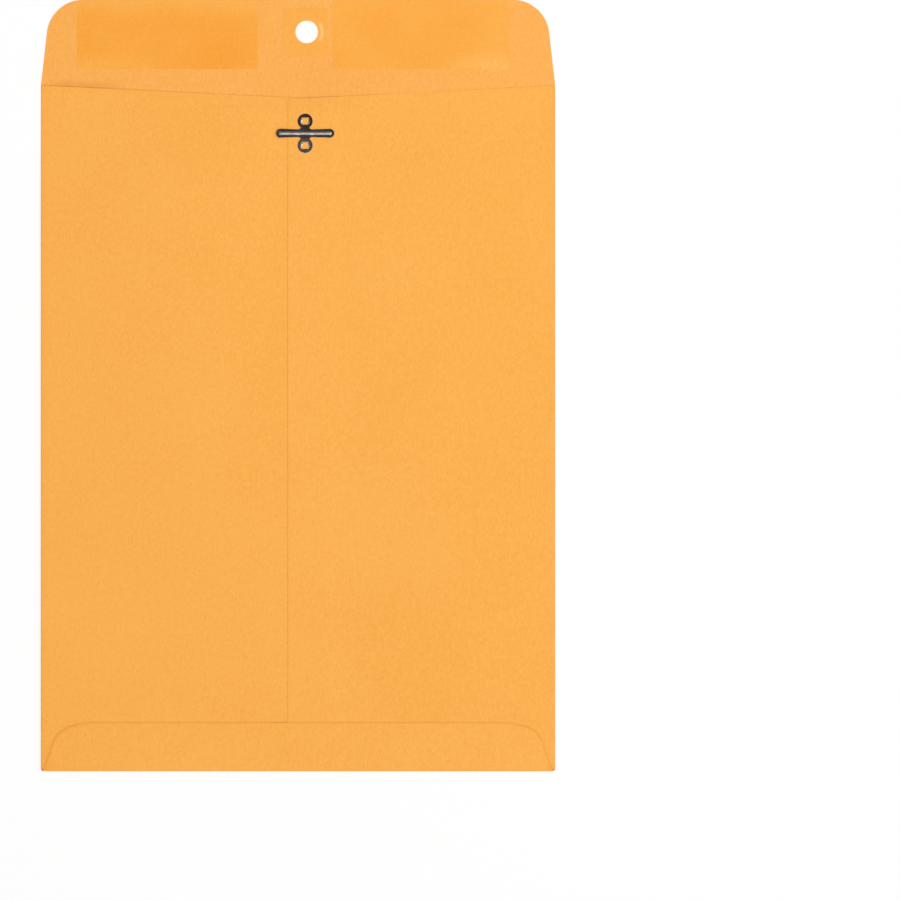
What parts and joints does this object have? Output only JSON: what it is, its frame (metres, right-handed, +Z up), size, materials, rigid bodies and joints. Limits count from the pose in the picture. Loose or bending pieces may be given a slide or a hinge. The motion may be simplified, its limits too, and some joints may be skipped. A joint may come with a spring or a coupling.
{
  "type": "clasp envelope",
  "caption": "Kraft paper clasp envelope: a flat pocket with lapped seam and bottom flap, a gummed seal flap with a hole that folds over, and a tinplate clasp whose prongs bend up through the hole.",
  "frame": {"origin": "middle of the open envelope's outline, on the surface that its address side lies on", "axes": "+X to the right across the envelope, +Y along its height towards the seal flap, +Z up out of the back that carries the clasp"},
  "size_m": [0.2286, 0.343, 0.0021],
  "materials": {
    "kraft_paper": "matte",
    "dried_paste": "matte",
    "remoistenable_gum": "satin",
    "tinplate": "satin"
  },
  "bodies": {
    "pocket": {"front_panel": "kraft_paper", "left_side_fold": "kraft_paper", "right_side_fold": "kraft_paper", "left_back_panel": "kraft_paper", "right_back_panel": "kraft_paper", "seam_adhesive": "dried_paste", "bottom_fold": "kraft_paper", "bottom_flap": "kraft_paper", "bottom_flap_adhesive": "dried_paste", "clasp_base": "tinplate"},
    "flap": {"seal_flap": "kraft_paper", "gum_strip_left": "remoistenable_gum", "gum_strip_right": "remoistenable_gum", "hole_reinforcement_patch": "kraft_paper"},
    "left_prong": {"clasp_prong_left": "tinplate"},
    "right_prong": {"clasp_prong_right": "tinplate"}
  },
  "joints": [
    {"name": "flap_crease", "type": "hinge", "parent": "pocket", "child": "flap", "pos_m": [0, 0.13453, 0.00083], "axis": [1, 0, 0], "range_deg": [0, 177]},
    {"name": "left_prong_bend", "type": "hinge", "parent": "pocket", "child": "left_prong", "pos_m": [0.00015, 0.11205, 0.00162], "axis": [0, 1, 0], "range_deg": [0, 90]},
    {"name": "right_prong_bend", "type": "hinge", "parent": "pocket", "child": "right_prong", "pos_m": [0.00615, 0.11205, 0.00162], "axis": [0, -1, 0], "range_deg": [0, 90]}
  ]
}
